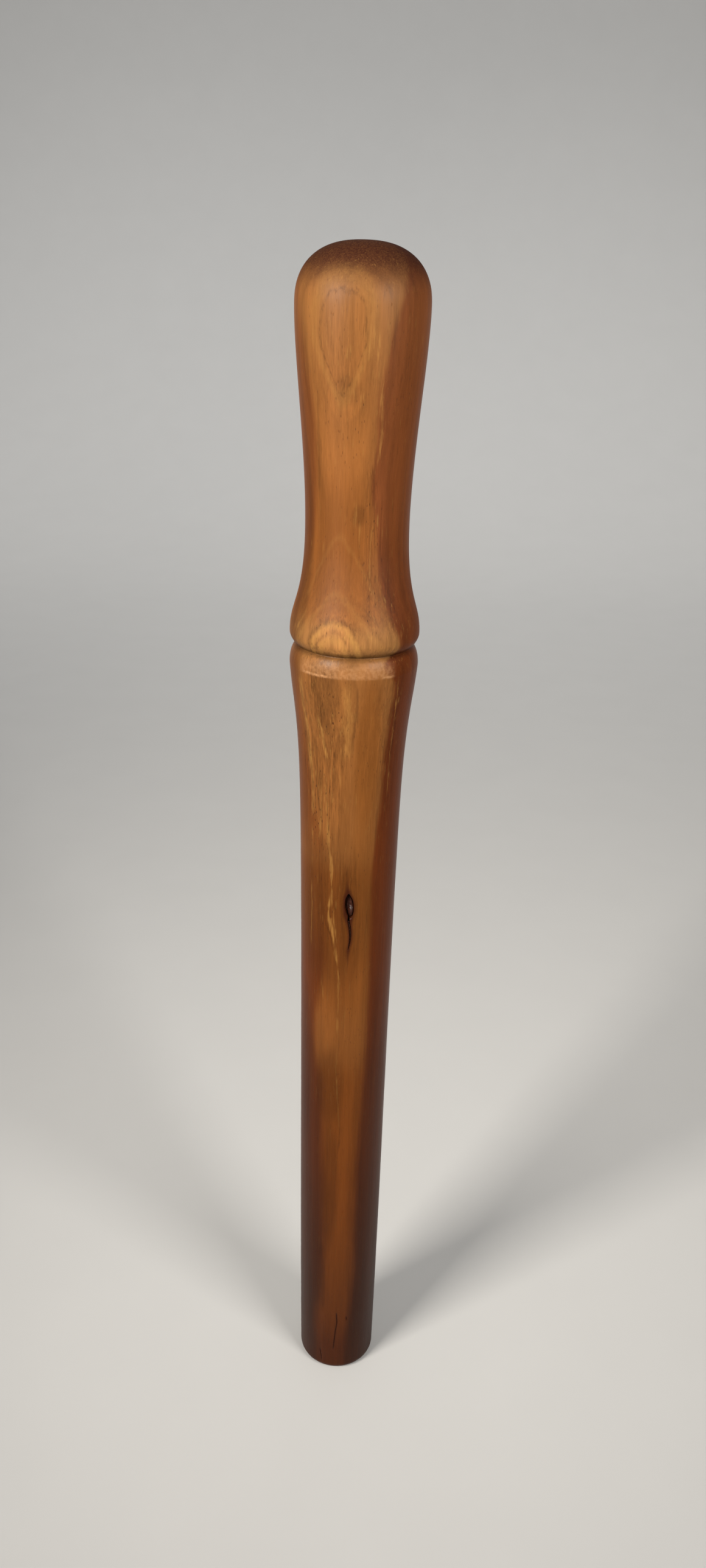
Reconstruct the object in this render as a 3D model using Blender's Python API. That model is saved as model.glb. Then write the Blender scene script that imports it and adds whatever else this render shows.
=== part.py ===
"""One-piece turned wooden mallet, with the knot and the bark pocket that lie in its wood.

Metres, +Z up. The origin is the centre of the flat foot, and -Y is the face that shows the knot.
"""

import math

import bmesh
import bpy
from mathutils import Vector
from mathutils.geometry import interpolate_bezier

# Foot and shaft. A height is measured from the turned feature under it.
FOOT_DIAMETER = 0.0308
FOOT_ROUNDING = 0.0031
NECK_DIAMETER = 0.0350
NECK_HEIGHT = 0.2500
COLLAR_DIAMETER = 0.0432
COLLAR_HEIGHT = 0.0613

# Groove between the collar and the grip.
GROOVE_DEPTH = 0.0022
SHOULDER_HEIGHT = 0.0065
SHOULDER_ROUNDING = 0.0029
BEAD_HEIGHT = 0.0042

# Grip, from the bead up to the domed end.
BEAD_DIAMETER = 0.0432
WAIST_DIAMETER = 0.03364
WAIST_HEIGHT = 0.0355
POMMEL_DIAMETER = 0.0414
POMMEL_HEIGHT = 0.0643
DOME_HEIGHT = 0.0182
DOME_FULLNESS = 2.4

# How far each long curve holds its direction as it leaves a turned feature.
FOOT_PULL = 0.0950
FOOT_SLOPE = 0.013
NECK_PULL_DOWN = 0.0786
NECK_PULL_UP = 0.0436
NECK_SLOPE = 0.015
COLLAR_PULL = 0.0155
COLLAR_SLOPE = 0.077
BEAD_PULL = 0.0097
WAIST_PULL_DOWN = 0.0250
WAIST_PULL_UP = 0.0238
POMMEL_PULL = 0.0151

# Knot, and the bark pocket that trails below it.
KNOT_HEIGHT = 0.2264
KNOT_SIDE = 0.0007
KNOT_WIDTH = 0.0034
KNOT_LENGTH = 0.0102
KNOT_DEPTH = 0.0090
BARK_WIDTH = 0.0013
BARK_LENGTH = 0.0132
BARK_DEPTH = 0.0045
BARK_SIDE = 0.0009
BARK_TAIL = 0.30
PLUG_TAPER = 0.60
FIT_GAP = 0.0003

# Plain colours and finish of the three woods: oiled sapwood, dead knot and bark.
BODY_COLOUR = (0.300, 0.135, 0.045)
BODY_ROUGHNESS = 0.42
KNOT_COLOUR = (0.045, 0.016, 0.007)
KNOT_ROUGHNESS = 0.25
BARK_COLOUR = (0.020, 0.010, 0.006)
BARK_ROUGHNESS = 0.80

# Facets: the number of flats round the turned body, and the points along each part of its outline.
ROUND_STEPS = 60
DOME_STEPS = 9
LONG_STEPS = 12
BEAD_STEPS = 5
SHOULDER_STEPS = 6
FOOT_STEPS = 4
PLUG_STEPS = 20

GROOVE_RADIUS = min(COLLAR_DIAMETER, BEAD_DIAMETER) / 2 - GROOVE_DEPTH
COLLAR_Z = NECK_HEIGHT + COLLAR_HEIGHT
GROOVE_Z = COLLAR_Z + SHOULDER_HEIGHT
BEAD_Z = GROOVE_Z + BEAD_HEIGHT
WAIST_Z = BEAD_Z + WAIST_HEIGHT
POMMEL_Z = WAIST_Z + POMMEL_HEIGHT


def clear_scene():
    for obj in list(bpy.data.objects):
        bpy.data.objects.remove(obj, do_unlink=True)


def long_curve(start, start_slope, start_pull, end, end_slope, end_pull):
    """Points of one flowing curve downwards, from start up to but without end. Each is (radius, height)."""
    first = Vector((start[0], start[1]))
    last = Vector((end[0], end[1]))
    leave = first - Vector((start_slope, 1)) * start_pull
    arrive = last + Vector((end_slope, 1)) * end_pull
    points = interpolate_bezier(first, leave, arrive, last, LONG_STEPS + 1)
    return [(point.x, point.y) for point in points[:-1]]


def dome_curve():
    """The domed end, a fuller curve than an ellipse, from the axis to the widest ring of the pommel."""
    points = []
    for step in range(DOME_STEPS):
        angle = math.radians(90) * step / DOME_STEPS
        out = math.sin(angle) ** (2 / DOME_FULLNESS)
        up = math.cos(angle) ** (2 / DOME_FULLNESS)
        points.append((POMMEL_DIAMETER / 2 * out, POMMEL_Z + DOME_HEIGHT * up))
    return points


def bead_curve():
    """The underside of the bead, a quarter of an ellipse stretched so that it meets the groove at an angle."""
    drop = BEAD_DIAMETER / 2 - GROOVE_RADIUS
    points = []
    for step in range(BEAD_STEPS):
        down = step / BEAD_STEPS
        points.append((BEAD_DIAMETER / 2 - drop * down**2, BEAD_Z - BEAD_HEIGHT * down))
    return points


def shoulder_curve():
    """The rounded shoulder of the collar, from the bottom of the groove down to the collar's crisp edge."""
    rise = COLLAR_DIAMETER / 2 - GROOVE_RADIUS
    start = math.acos(1 - rise / SHOULDER_ROUNDING)
    points = []
    for step in range(SHOULDER_STEPS):
        angle = start * (1 - step / SHOULDER_STEPS)
        radius = COLLAR_DIAMETER / 2 - SHOULDER_ROUNDING * (1 - math.cos(angle))
        points.append((radius, COLLAR_Z + SHOULDER_HEIGHT * math.sin(angle) / math.sin(start)))
    return points


def foot_curve():
    """The rounded edge of the foot, and the centre of its flat."""
    points = []
    for step in range(FOOT_STEPS + 1):
        angle = math.radians(90) * step / FOOT_STEPS
        radius = FOOT_DIAMETER / 2 - FOOT_ROUNDING * (1 - math.cos(angle))
        points.append((radius, FOOT_ROUNDING * (1 - math.sin(angle))))
    return points + [(0.0, 0.0)]


def turned_outline():
    """The whole outline from the top of the dome down to the centre of the foot."""
    pommel = (POMMEL_DIAMETER / 2, POMMEL_Z)
    waist = (WAIST_DIAMETER / 2, WAIST_Z)
    bead = (BEAD_DIAMETER / 2, BEAD_Z)
    collar = (COLLAR_DIAMETER / 2, COLLAR_Z)
    neck = (NECK_DIAMETER / 2, NECK_HEIGHT)
    foot = (FOOT_DIAMETER / 2, FOOT_ROUNDING)
    points = dome_curve()
    points += long_curve(pommel, 0, POMMEL_PULL, waist, 0, WAIST_PULL_UP)
    points += long_curve(waist, 0, WAIST_PULL_DOWN, bead, 0, BEAD_PULL)
    points += bead_curve()
    points += shoulder_curve()
    points += long_curve(collar, COLLAR_SLOPE, COLLAR_PULL, neck, NECK_SLOPE, NECK_PULL_UP)
    points += long_curve(neck, NECK_SLOPE, NECK_PULL_DOWN, foot, FOOT_SLOPE, FOOT_PULL)
    return points + foot_curve()


def link(name, mesh):
    obj = bpy.data.objects.new(name, mesh)
    bpy.context.scene.collection.objects.link(obj)
    return obj


def helper(obj):
    """Marks an object as a cutter, which shows as a wire and isn't part of the model."""
    obj.hide_render = True
    obj.display_type = "WIRE"
    return obj


def turned_solid(name):
    """The outline turned once round the Z axis."""
    mesh = bpy.data.meshes.new(name)
    points = [(radius, 0.0, height) for radius, height in turned_outline()]
    edges = [(index, index + 1) for index in range(len(points) - 1)]
    mesh.from_pydata(points, edges, [])
    obj = link(name, mesh)
    screw = obj.modifiers.new("turn", "SCREW")
    screw.axis = "Z"
    screw.angle = math.radians(360)
    screw.steps = ROUND_STEPS
    screw.render_steps = ROUND_STEPS
    screw.use_merge_vertices = True
    screw.merge_threshold = 0.00001
    screw.use_smooth_shade = True
    return obj


def plug_solid(name, section, front, back):
    """A plug along Y between the planes y = front and y = back, through the section that holds at each plane."""
    editor = bmesh.new()
    loops = []
    for y in (front, back):
        ring = [editor.verts.new(section(math.tau * step / PLUG_STEPS, y)) for step in range(PLUG_STEPS)]
        loops.append(editor.faces.new(ring))
    edges = [edge for loop in loops for edge in loop.edges]
    bmesh.ops.bridge_loops(editor, edges=edges)
    bmesh.ops.recalc_face_normals(editor, faces=editor.faces)
    mesh = bpy.data.meshes.new(name)
    editor.to_mesh(mesh)
    editor.free()
    return link(name, mesh)


def surface_radius(height):
    """The turned radius at a height, read off the outline."""
    points = turned_outline()
    for (upper_radius, upper), (lower_radius, lower) in zip(points, points[1:]):
        if lower <= height <= upper and upper > lower:
            share = (height - lower) / (upper - lower)
            return lower_radius + share * (upper_radius - lower_radius)
    raise ValueError("the height is outside the mallet")


def inward_share(y, depth):
    """How wide a plug is at the plane y, as a share of its width at the turned surface."""
    return 1 - (1 - PLUG_TAPER) * (y + surface_radius(KNOT_HEIGHT)) / depth


def oval_point(angle, half_width, half_length, gap):
    """A point (across, up) of an oval, moved outwards by a gap. The angle is counted from the top."""
    across = half_width * math.sin(angle)
    up = half_length * math.cos(angle)
    outward = Vector((math.sin(angle) / half_width, math.cos(angle) / half_length)).normalized()
    return across + gap * outward.x, up + gap * outward.y


def knot_section(gap):
    """The oval of the knot, grown by a gap."""

    def at(angle, y):
        share = inward_share(y, KNOT_DEPTH)
        across, up = oval_point(angle, KNOT_WIDTH / 2 * share, KNOT_LENGTH / 2 * share, gap)
        return (KNOT_SIDE + across, y, KNOT_HEIGHT + up)

    return at


def bark_section(gap):
    """The teardrop of the bark pocket, full width under the knot and BARK_TAIL of it below, grown by a gap."""
    middle = KNOT_HEIGHT - KNOT_LENGTH / 2 - FIT_GAP - BARK_LENGTH / 2

    def at(angle, y):
        share = inward_share(y, BARK_DEPTH)
        fullness = BARK_TAIL + (1 - BARK_TAIL) * (1 + math.cos(angle)) / 2
        half_width = BARK_WIDTH / 2 * share * fullness
        across, up = oval_point(angle, half_width, BARK_LENGTH / 2 * share, gap)
        return (BARK_SIDE + across, y, middle + up)

    return at


def boolean(obj, name, other, operation):
    cut = obj.modifiers.new(name, "BOOLEAN")
    cut.operation = operation
    cut.object = other


def wood(name, colour, roughness):
    """A wood material with one colour, for the plain model."""
    material = bpy.data.materials.new(name)
    material.use_nodes = True
    shader = material.node_tree.nodes["Principled BSDF"]
    shader.inputs["Base Color"].default_value = (*colour, 1.0)
    shader.inputs["Roughness"].default_value = roughness
    shader.inputs["Metallic"].default_value = 0.0
    return material


def make_turned_body():
    """The wood itself: one turned blank with the two pockets that the knot and the bark lie in."""
    body = turned_solid("turned_body")
    shaft = surface_radius(KNOT_HEIGHT)
    pockets = (("knot_socket", knot_section, KNOT_DEPTH), ("bark_socket", bark_section, BARK_DEPTH))
    for name, section, depth in pockets:
        cutter = helper(plug_solid(name, section(FIT_GAP), -shaft - depth, -shaft + depth + FIT_GAP))
        boolean(body, name, cutter, "DIFFERENCE")
    body.data.materials.append(wood("oiled_wood", BODY_COLOUR, BODY_ROUGHNESS))
    return body


def make_inlay(name, section, depth, envelope, material):
    """A plug of other wood that fills its pocket and ends flush with the turned surface."""
    shaft = surface_radius(KNOT_HEIGHT)
    inlay = plug_solid(name, section(0.0), -shaft - depth, -shaft + depth)
    boolean(inlay, "flush_with_turning", envelope, "INTERSECT")
    inlay.data.materials.append(material)
    return inlay


def main():
    clear_scene()
    make_turned_body()
    envelope = helper(turned_solid("turning_envelope"))
    knot_wood = wood("knot_wood", KNOT_COLOUR, KNOT_ROUGHNESS)
    make_inlay("knot", knot_section, KNOT_DEPTH, envelope, knot_wood)
    bark = wood("bark", BARK_COLOUR, BARK_ROUGHNESS)
    make_inlay("bark_pocket", bark_section, BARK_DEPTH, envelope, bark)


main()
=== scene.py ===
"""Looks of a one-piece turned wooden mallet: the oiled blank, its dead knot and its bark seam, on a pale floor.

Metres, +Z up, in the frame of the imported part. -Y is the face that shows the knot.
"""

import math

import bmesh
import bpy
from mathutils import Matrix, Vector, noise
from mathutils.geometry import interpolate_bezier


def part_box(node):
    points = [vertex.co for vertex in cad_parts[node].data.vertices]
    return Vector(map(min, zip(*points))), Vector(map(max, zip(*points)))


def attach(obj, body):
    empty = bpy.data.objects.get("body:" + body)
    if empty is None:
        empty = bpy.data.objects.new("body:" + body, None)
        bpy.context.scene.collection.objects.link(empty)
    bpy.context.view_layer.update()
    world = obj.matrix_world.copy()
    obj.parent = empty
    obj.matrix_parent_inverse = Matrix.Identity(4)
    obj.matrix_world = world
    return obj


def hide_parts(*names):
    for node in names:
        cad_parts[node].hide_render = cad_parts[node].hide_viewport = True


bl_info = {
    "name": "Turned wooden mallet",
    "version": (1, 0, 0),
    "blender": (4, 5, 0),
    "location": "View3D > Sidebar > Mallet",
    "description": "Builds a turned wooden mallet with its knot, its drying checks and its oiled finish",
    "category": "Object",
}

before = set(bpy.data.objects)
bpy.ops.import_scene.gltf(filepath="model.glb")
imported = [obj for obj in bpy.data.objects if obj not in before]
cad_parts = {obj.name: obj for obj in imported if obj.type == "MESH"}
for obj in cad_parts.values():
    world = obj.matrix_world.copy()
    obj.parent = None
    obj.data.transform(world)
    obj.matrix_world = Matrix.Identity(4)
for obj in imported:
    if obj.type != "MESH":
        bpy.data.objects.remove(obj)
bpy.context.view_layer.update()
KNOT_LOW, KNOT_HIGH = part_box("knot")

MM = 0.001

# Pith of the log: the blank was cut beside it, so the light outer wood lies on the front.
PITH_TURN = math.radians(165)
PITH_REACH = 23.0
RING_WIDTH = 1.9


# ---------------------------------------------------------------- sizes and colours


def length(name, default, description):
    return bpy.props.FloatProperty(
        name=name, description=description, default=default, min=0.0, precision=5, subtype="DISTANCE", unit="LENGTH"
    )


def colour(name, default, description):
    return bpy.props.FloatVectorProperty(
        name=name, description=description, default=default, min=0.0, max=1.0, size=3, subtype="COLOR"
    )


class MalletSizes(bpy.types.PropertyGroup):
    """Sizes of the turning, each measured from the feature under it."""

    foot_diameter: length("Foot diameter", 0.0308, "Across the shaft just above its flat end")
    foot_rounding: length("Foot rounding", 0.0031, "Radius of the rounded edge of the flat end")
    neck_diameter: length("Neck diameter", 0.0350, "Across the shaft where it starts to flare")
    neck_height: length("Neck height", 0.2500, "From the flat end to the start of the flare")
    collar_diameter: length("Collar diameter", 0.0432, "Across the crisp edge of the collar")
    collar_height: length("Collar height", 0.0613, "From the start of the flare to the crisp edge")
    groove_depth: length("Groove depth", 0.0022, "From the collar in to the bottom of the groove")
    shoulder_height: length("Shoulder height", 0.0065, "From the crisp edge to the bottom of the groove")
    shoulder_rounding: length("Shoulder rounding", 0.0029, "How far in the shoulder curves")
    bead_height: length("Bead height", 0.0042, "From the bottom of the groove to the widest ring of the bead")
    bead_diameter: length("Bead diameter", 0.0432, "Across the bead at the bottom of the grip")
    waist_diameter: length("Waist diameter", 0.03364, "Across the thinnest part of the grip")
    waist_height: length("Waist height", 0.0355, "From the bead to the thinnest part of the grip")
    pommel_diameter: length("Pommel diameter", 0.0414, "Across the widest part of the domed end")
    pommel_height: length("Pommel height", 0.0643, "From the waist to the widest ring of the domed end")
    dome_height: length("Dome height", 0.0182, "From the widest ring to the top")


class MalletColours(bpy.types.PropertyGroup):
    """Colours of the oiled wood and of the stage."""

    light_grip: colour("Light wood of the grip", (0.190, 0.085, 0.0255), "Outer wood on the front of the grip")
    light_shaft: colour("Light wood of the shaft", (0.107, 0.0288, 0.0036), "Outer wood on the front of the shaft")
    # Partly redder wood, partly painted shade that darkens the foot.
    light_foot_with_shade: colour("Light wood of the foot", (0.052, 0.0115, 0.0020), "Outer wood on the front of the foot")
    dark_grip: colour("Dark wood of the grip", (0.112, 0.0335, 0.0088), "Inner wood round the grip")
    dark_shaft: colour("Dark wood of the shaft", (0.074, 0.0158, 0.0026), "Inner wood round the shaft")
    # Partly redder wood, partly painted shade that darkens the foot.
    dark_foot_with_shade: colour("Dark wood of the foot", (0.0300, 0.0074, 0.0018), "Inner wood round the foot")
    amber: colour("Amber wood", (0.130, 0.0430, 0.0078), "Warmer layers inside the light wood")
    end_grain: colour("End grain", (0.0195, 0.0036, 0.0011), "Domed end, where the oil soaked in")
    streak: colour("Pale streaks", (0.290, 0.145, 0.036), "Thin pale layers between the rings")
    # Partly scraped wood, partly a painted highlight on the shoulder of the collar.
    wear_and_sheen: colour("Worn wood", (0.300, 0.150, 0.066), "Scraped shoulder of the collar")
    pore: colour("Pores", (0.022, 0.0062, 0.0020), "Open pores and the stain round the knot")
    stain: colour("Stain", (0.0270, 0.0056, 0.0018), "Stained wood round the knot and along the checks")
    knot: colour("Knot", (0.0170, 0.0048, 0.0026), "Dead knot")
    bark: colour("Bark", (0.0170, 0.0042, 0.0018), "Bark seam under the knot")
    floor: colour("Floor", (0.560, 0.550, 0.530), "Floor and backdrop")


def sizes():
    return bpy.context.scene.mallet_sizes


def colours():
    return bpy.context.scene.mallet_colours


# ---------------------------------------------------------------- outline of the turning

POMMEL_PULL = 0.0151
WAIST_PULL_UP = 0.0238
WAIST_PULL_DOWN = 0.0250
BEAD_PULL = 0.0097
COLLAR_SLOPE = 0.077
COLLAR_PULL = 0.0155
NECK_SLOPE = 0.015
NECK_PULL_UP = 0.0436
NECK_PULL_DOWN = 0.0786
FOOT_SLOPE = 0.013
FOOT_PULL = 0.0950
DOME_FULLNESS = 2.4
FINE_STEPS = 400


def flowing(start, start_slope, start_pull, end, end_slope, end_pull):
    """One flowing curve downwards, as (radius, height) points."""
    first = Vector(start)
    last = Vector(end)
    leave = first - Vector((start_slope, 1)) * start_pull
    arrive = last + Vector((end_slope, 1)) * end_pull
    return [(point.x, point.y) for point in interpolate_bezier(first, leave, arrive, last, FINE_STEPS)]


def heights():
    """Heights of the turned features above the flat end."""
    s = sizes()
    collar = s.neck_height + s.collar_height
    groove = collar + s.shoulder_height
    bead = groove + s.bead_height
    waist = bead + s.waist_height
    pommel = waist + s.pommel_height
    return {"collar": collar, "groove": groove, "bead": bead, "waist": waist, "pommel": pommel}


def dome_curve(level):
    s = sizes()
    points = []
    for step in range(FINE_STEPS + 1):
        angle = math.radians(90) * step / FINE_STEPS
        out = math.sin(angle) ** (2 / DOME_FULLNESS)
        up = math.cos(angle) ** (2 / DOME_FULLNESS) if step < FINE_STEPS else 0.0
        points.append((s.pommel_diameter / 2 * out, level["pommel"] + s.dome_height * up))
    return points


def bead_curve(level, bottom):
    s = sizes()
    points = []
    for step in range(FINE_STEPS + 1):
        down = step / FINE_STEPS
        radius = s.bead_diameter / 2 - (s.bead_diameter / 2 - bottom) * down**2
        points.append((radius, level["bead"] - s.bead_height * down))
    return points


def shoulder_curve(level, bottom):
    s = sizes()
    rise = s.collar_diameter / 2 - bottom
    start = math.acos(1 - rise / s.shoulder_rounding)
    points = []
    for step in range(FINE_STEPS + 1):
        angle = start * (1 - step / FINE_STEPS)
        radius = s.collar_diameter / 2 - s.shoulder_rounding * (1 - math.cos(angle))
        points.append((radius, level["collar"] + s.shoulder_height * math.sin(angle) / math.sin(start)))
    return points


def foot_curve():
    s = sizes()
    points = []
    for step in range(FINE_STEPS + 1):
        angle = math.radians(90) * step / FINE_STEPS
        radius = s.foot_diameter / 2 - s.foot_rounding * (1 - math.cos(angle))
        points.append((radius, s.foot_rounding * (1 - math.sin(angle))))
    return points


def outline_sections():
    """The outline from the top of the dome to the centre of the foot, split where it turns a corner."""
    s = sizes()
    level = heights()
    bottom = min(s.collar_diameter, s.bead_diameter) / 2 - s.groove_depth
    pommel = (s.pommel_diameter / 2, level["pommel"])
    waist = (s.waist_diameter / 2, level["waist"])
    bead = (s.bead_diameter / 2, level["bead"])
    collar = (s.collar_diameter / 2, level["collar"])
    neck = (s.neck_diameter / 2, s.neck_height)
    foot = (s.foot_diameter / 2, s.foot_rounding)
    grip = flowing(pommel, 0, POMMEL_PULL, waist, 0, WAIST_PULL_UP)
    grip += flowing(waist, 0, WAIST_PULL_DOWN, bead, 0, BEAD_PULL)[1:]
    shaft = flowing(collar, COLLAR_SLOPE, COLLAR_PULL, neck, NECK_SLOPE, NECK_PULL_UP)
    shaft += flowing(neck, NECK_SLOPE, NECK_PULL_DOWN, foot, FOOT_SLOPE, FOOT_PULL)[1:]
    flat = [(s.foot_diameter / 2 - s.foot_rounding, 0.0), (0.0, 0.0)]
    return [
        dome_curve(level) + grip[1:],
        bead_curve(level, bottom),
        shoulder_curve(level, bottom),
        shaft,
        foot_curve(),
        flat,
    ]


# Distance between the rows of the mesh: close where the wood has small marks.
FOOT_MARKS_TOP = 0.037
FOOT_MARK_ROWS = 0.00045
KNOT_MARKS_LOW = 0.203
KNOT_MARKS_TOP = 0.242
KNOT_MARK_ROWS = 0.00040
GROOVE_MARGIN = 0.003
GROOVE_ROWS = 0.00032
DOME_ROWS = 0.00080
PLAIN_ROWS = 0.00150
# A straight run is split while it is longer than LONG_GAP rows, and a last row nearer than SHORT_GAP is left out.
LONG_GAP = 1.5
SHORT_GAP = 0.5


def row_spacing(height):
    level = heights()
    if height < FOOT_MARKS_TOP:
        return FOOT_MARK_ROWS
    if KNOT_MARKS_LOW < height < KNOT_MARKS_TOP:
        return KNOT_MARK_ROWS
    if level["collar"] - GROOVE_MARGIN < height < level["bead"] + GROOVE_MARGIN:
        return GROOVE_ROWS
    if height > level["pommel"]:
        return DOME_ROWS
    return PLAIN_ROWS


def spaced(points):
    """Points along a section, at the distance that row_spacing asks for, with both ends kept."""
    kept = [points[0]]
    for point in points[1:]:
        gap = math.dist(point, kept[-1])
        wanted = row_spacing(point[1])
        while gap >= wanted * LONG_GAP and len(points) == 2:
            share = wanted / gap
            last = kept[-1]
            kept.append((last[0] + (point[0] - last[0]) * share, last[1] + (point[1] - last[1]) * share))
            gap = math.dist(point, kept[-1])
        if gap >= wanted:
            kept.append(point)
    if kept[-1] != points[-1]:
        if math.dist(kept[-1], points[-1]) < row_spacing(points[-1][1]) * SHORT_GAP and len(kept) > 1:
            kept.pop()
        kept.append(points[-1])
    return kept


def outline_rows():
    rows = []
    for section in outline_sections():
        fresh = spaced(section)
        rows += fresh[1:] if rows else fresh
    return rows


def turned_radius(height):
    """Radius of the turning at a height, above the foot's rounding and below the dome."""
    for section in outline_sections()[:4]:
        for (upper_radius, upper), (lower_radius, lower) in zip(section, section[1:]):
            if lower <= height <= upper and upper > lower:
                share = (height - lower) / (upper - lower)
                return lower_radius + share * (upper_radius - lower_radius)
    raise ValueError(f"no turned surface at height {height:.4f}")


# ---------------------------------------------------------------- mesh helpers


def add_object(name, mesh):
    obj = bpy.data.objects.new(name, mesh)
    bpy.context.scene.collection.objects.link(obj)
    return obj


def mesh_object(name, points, faces):
    mesh = bpy.data.meshes.new(name)
    mesh.from_pydata(points, [], faces)
    mesh.update()
    return add_object(name, mesh)


def outward_faces(obj):
    editor = bmesh.new()
    editor.from_mesh(obj.data)
    bmesh.ops.recalc_face_normals(editor, faces=editor.faces)
    editor.to_mesh(obj.data)
    editor.free()


def smooth(obj):
    for face in obj.data.polygons:
        face.use_smooth = True


def ring_faces(rings, steps, first=0):
    """Faces between neighbouring rings of points, each ring closed on itself."""
    faces = []
    for ring in range(rings - 1):
        low = first + ring * steps
        for step in range(steps):
            after = (step + 1) % steps
            faces.append((low + step, low + steps + step, low + steps + after, low + after))
    return faces


def closed_solid(name, points, steps):
    """A solid through rings of points, closed flat at both ends."""
    last = len(points) - steps
    ends = [tuple(range(steps)), tuple(reversed(range(last, len(points))))]
    obj = mesh_object(name, points, ends + ring_faces(len(points) // steps, steps))
    outward_faces(obj)
    return obj


def apply_modifiers(obj):
    graph = bpy.context.evaluated_depsgraph_get()
    fresh = bpy.data.meshes.new_from_object(obj.evaluated_get(graph))
    old = obj.data
    obj.modifiers.clear()
    obj.data = fresh
    fresh.name = old.name + "_finished"
    bpy.data.meshes.remove(old)


def cut_away(obj, cutters):
    """Cuts solids out of obj and removes them."""
    for cutter in cutters:
        cut = obj.modifiers.new(cutter.name, "BOOLEAN")
        cut.operation = "DIFFERENCE"
        cut.solver = "EXACT"
        cut.object = cutter
    bpy.context.view_layer.update()
    apply_modifiers(obj)
    for cutter in cutters:
        bpy.data.objects.remove(cutter, do_unlink=True)


# ---------------------------------------------------------------- turned blank

FRONT_WIDTH = math.radians(28)
FRONT_STEP = math.radians(1.2)
BACK_STEP = math.radians(2.7)
# Slight waves that scraping and sanding by hand leave: their depth, and how many go round and along.
WAVE_DEPTH = 0.000035
WAVES_ROUND = 1.6
WAVES_ALONG = 70
WAVES_FADE = 0.012


def turn_angles():
    """Angles round the axis, counted from the front to the right, close together on the front."""
    front = round(2 * FRONT_WIDTH / FRONT_STEP)
    back = round((math.tau - 2 * FRONT_WIDTH) / BACK_STEP)
    angles = [-FRONT_WIDTH + 2 * FRONT_WIDTH * step / front for step in range(front)]
    angles += [FRONT_WIDTH + (math.tau - 2 * FRONT_WIDTH) * step / back for step in range(back)]
    return angles


def hand_finish(angle, height):
    """How deep the hand-made waves lie under the true round."""
    place = Vector((math.sin(angle) * WAVES_ROUND, -math.cos(angle) * WAVES_ROUND, height * WAVES_ALONG))
    return WAVE_DEPTH * (1 + noise.noise(place))


def turned_wood():
    """The solid turning, from the top of the dome down to the centre of the foot."""
    rows = outline_rows()
    angles = turn_angles()
    around = len(angles)
    points = [(0.0, 0.0, rows[0][1])]
    for radius, height in rows[1:-1]:
        for angle in angles:
            reach = radius - hand_finish(angle, height) * min(1.0, radius / WAVES_FADE)
            points.append((reach * math.sin(angle), -reach * math.cos(angle), height))
    points.append((0.0, 0.0, 0.0))
    faces = [(0, 1 + (step + 1) % around, 1 + step) for step in range(around)]
    for row in range(len(rows) - 3):
        upper = 1 + row * around
        lower = upper + around
        for step in range(around):
            after = (step + 1) % around
            faces.append((upper + step, upper + after, lower + after, lower + step))
    last = len(points) - 1
    ring = last - around
    faces += [(last, ring + step, ring + (step + 1) % around) for step in range(around)]
    obj = mesh_object("turned_wood", points, faces)
    outward_faces(obj)
    return obj


# ---------------------------------------------------------------- splits and hollows in the wood


def on_surface(across, height, depth=0.0):
    """A point of the front of the turning, moved in by a depth."""
    radius = turned_radius(height)
    angle = math.asin(across / radius)
    reach = radius - depth
    return Vector((reach * math.sin(angle), -reach * math.cos(angle), height))


# The wedge that cuts a split: how far it stands proud, and its half widths at the top and at its knee.
WEDGE_PROUD = 0.0006
WEDGE_TOP = 1.3
WEDGE_KNEE = 0.8
WEDGE_KNEE_DEPTH = 0.35
WEDGE_CORNERS = 5
BARK_SPLIT_DEPTH = 0.0026
CHECK_DEPTH = 0.0004


def split_solid(name, path, depth):
    """A wedge along a path of (across, height, width) stations, sharp at both ends, to cut a split with."""
    points = []
    for across, height, width in path:
        middle = on_surface(across, height)
        outward = Vector((middle.x, middle.y, 0)).normalized()
        side = Vector((-outward.y, outward.x, 0))
        half = side * width / 2
        points += [
            middle + outward * WEDGE_PROUD - half * WEDGE_TOP,
            middle + outward * WEDGE_PROUD + half * WEDGE_TOP,
            middle + half * WEDGE_KNEE - outward * depth * WEDGE_KNEE_DEPTH,
            middle - outward * depth,
            middle - half * WEDGE_KNEE - outward * depth * WEDGE_KNEE_DEPTH,
        ]
    return closed_solid(name, points, WEDGE_CORNERS)


# Paths of the splits, each station as (across, height, width).
FOOT_CHECK = [
    (-0.00020, 0.0325, 0.00008),
    (-0.00012, 0.0312, 0.00030),
    (0.00000, 0.0293, 0.00036),
    (0.00012, 0.0277, 0.00039),
    (-0.00018, 0.0247, 0.00028),
    (-0.00055, 0.0212, 0.00025),
    (-0.00078, 0.0178, 0.00028),
    (-0.00100, 0.0148, 0.00024),
    (-0.00125, 0.0122, 0.00008),
]
SIDE_CHECK = [
    (-0.00680, 0.0108, 0.00008),
    (-0.00662, 0.0092, 0.00025),
    (-0.00636, 0.0074, 0.00031),
    (-0.00615, 0.0056, 0.00025),
    (-0.00600, 0.0042, 0.00008),
]
PIN_MARK = [
    (0.00392, 0.0303, 0.00016),
    (0.00398, 0.0298, 0.00050),
    (0.00402, 0.0290, 0.00056),
    (0.00406, 0.0283, 0.00016),
]
BARK_SPLIT = [
    (0.00055, 0.2222, 0.00070),
    (0.00060, 0.2204, 0.00080),
    (0.00085, 0.2188, 0.00082),
    (0.00110, 0.2170, 0.00074),
    (0.00130, 0.2152, 0.00066),
    (0.00132, 0.2136, 0.00056),
    (0.00118, 0.2120, 0.00042),
    (0.00090, 0.2104, 0.00028),
    (0.00060, 0.2086, 0.00010),
]


# Uneven oval of the knot: its lumps, how much it narrows towards its ends, and how far it leans.
KNOT_LUMPS = 0.14
KNOT_LUMP_SIZE = 1.9
KNOT_LUMP_SEED = 3.1
KNOT_NARROW_LOW = 0.30
KNOT_NARROW_TOP = 0.34
KNOT_LEAN = 0.00035
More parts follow.
